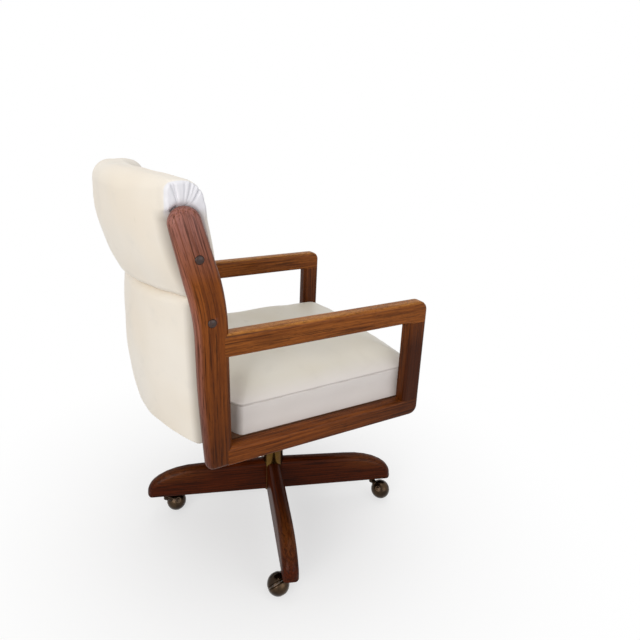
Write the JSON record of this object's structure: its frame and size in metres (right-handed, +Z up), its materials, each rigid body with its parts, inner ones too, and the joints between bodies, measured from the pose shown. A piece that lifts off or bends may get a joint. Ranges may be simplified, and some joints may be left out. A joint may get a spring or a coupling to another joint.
{
  "type": "bankers swivel chair",
  "caption": "Tilting swivel armchair with closed oak side frames, a barrel-curved padded back, a boxed seat cushion and an oak star base on ball casters.",
  "frame": {"origin": "on the floor, in the middle of the chair's own length and width; the swivel axis stands 40.5 mm towards the front of it, at y = -0.0405 m", "axes": "+Z up, the sitter faces -Y, the sitter's left hand is at +X"},
  "size_m": [0.6712, 0.7546, 0.9821],
  "materials": {
    "frame_oak": "satin",
    "leg_oak": "satin",
    "plug_oak": "satin",
    "hidden_wood": "matte",
    "vinyl": "satin",
    "bronze": "polished",
    "brass": "satin",
    "steel": "satin",
    "black_steel": "satin",
    "nylon": "matte",
    "black_plastic": "satin"
  },
  "bodies": {
    "base": {"base_hub": "brass", "spindle_bush": "nylon", "base_leg_1": "leg_oak", "leg_bolt_1": "steel", "caster_socket_1": "brass", "base_leg_2": "leg_oak", "leg_bolt_2": "steel", "caster_socket_2": "brass", "base_leg_3": "leg_oak", "leg_bolt_3": "steel", "caster_socket_3": "brass", "base_leg_4": "leg_oak", "leg_bolt_4": "steel", "caster_socket_4": "brass"},
    "caster_1": {"caster_hood_1": "bronze"},
    "ball_1": {"caster_ball_1": "bronze"},
    "caster_2": {"caster_hood_2": "bronze"},
    "ball_2": {"caster_ball_2": "bronze"},
    "caster_3": {"caster_hood_3": "bronze"},
    "ball_3": {"caster_ball_3": "bronze"},
    "caster_4": {"caster_hood_4": "bronze"},
    "ball_4": {"caster_ball_4": "bronze"},
    "swivel": {"thrust_bearing": "steel", "height_nut": "black_steel"},
    "column": {"spindle": "steel", "tilt_housing": "black_steel", "pivot_pin": "steel", "tension_spring": "steel"},
    "tension_knob": {"tension_knob": "black_plastic"},
    "seat": {"seat_iron": "black_steel", "plate_screw_1": "steel", "plate_screw_2": "steel", "plate_screw_3": "steel", "plate_screw_4": "steel", "front_cross_rail": "frame_oak", "rear_cross_rail": "frame_oak", "seat_board": "hidden_wood", "seat_cushion": "vinyl", "armrest_left": "frame_oak", "front_post_left": "frame_oak", "side_rail_left": "frame_oak", "rear_upright_left": "frame_oak", "wood_plug_left_upper": "plug_oak", "back_bolt_left_upper": "steel", "wood_plug_left_lower": "plug_oak", "back_bolt_left_lower": "steel", "armrest_right": "frame_oak", "front_post_right": "frame_oak", "side_rail_right": "frame_oak", "rear_upright_right": "frame_oak", "wood_plug_right_upper": "plug_oak", "back_bolt_right_upper": "steel", "wood_plug_right_lower": "plug_oak", "back_bolt_right_lower": "steel", "upper_back_pad": "vinyl", "upper_back_panel": "hidden_wood", "lower_back_pad": "vinyl", "lower_back_panel": "hidden_wood"}
  },
  "joints": [
    {"name": "seat_swivel", "type": "hinge", "parent": "base", "child": "swivel", "pos_m": [0, -0.04047, 0.187], "axis": [0, 0, 1], "continuous": true},
    {"name": "seat_height", "type": "slide", "parent": "swivel", "child": "column", "axis": [0, 0, 1], "range_m": [-0.04, 0.045]},
    {"name": "seat_tilt", "type": "hinge", "parent": "column", "child": "seat", "pos_m": [0, -0.04047, 0.3352], "axis": [-1, 0, 0], "range_deg": [0, 15], "stiffness_Nm_per_rad": 150, "springref_deg": -17.19},
    {"name": "tension_turn", "type": "hinge", "parent": "column", "child": "tension_knob", "pos_m": [0, -0.09847, 0.2412], "axis": [0, 0, 1], "range_deg": [0, 1080]},
    {"name": "caster_swivel_1", "type": "hinge", "parent": "base", "child": "caster_1", "pos_m": [0.09519, 0.24402, 0.077], "axis": [0, 0, 1], "continuous": true},
    {"name": "caster_roll_1", "type": "hinge", "parent": "caster_1", "child": "ball_1", "pos_m": [0.09519, 0.21652, 0.0265], "axis": [0.8192, 0, -0.5736], "continuous": true},
    {"name": "caster_swivel_2", "type": "hinge", "parent": "base", "child": "caster_2", "pos_m": [-0.2845, 0.05472, 0.077], "axis": [0, 0, 1], "continuous": true},
    {"name": "caster_roll_2", "type": "hinge", "parent": "caster_2", "child": "ball_2", "pos_m": [-0.28785, 0.08201, 0.0265], "axis": [-0.813, -0.0998, -0.5736], "continuous": true},
    {"name": "caster_swivel_3", "type": "hinge", "parent": "base", "child": "caster_3", "pos_m": [-0.09519, -0.32497, 0.077], "axis": [0, 0, 1], "continuous": true},
    {"name": "caster_roll_3", "type": "hinge", "parent": "caster_3", "child": "ball_3", "pos_m": [-0.11851, -0.33954, 0.0265], "axis": [0.4341, -0.6947, -0.5736], "continuous": true},
    {"name": "caster_swivel_4", "type": "hinge", "parent": "base", "child": "caster_4", "pos_m": [0.2845, -0.13567, 0.077], "axis": [0, 0, 1], "continuous": true},
    {"name": "caster_roll_4", "type": "hinge", "parent": "caster_4", "child": "ball_4", "pos_m": [0.26068, -0.12192, 0.0265], "axis": [-0.4096, -0.7094, -0.5736], "continuous": true}
  ]
}
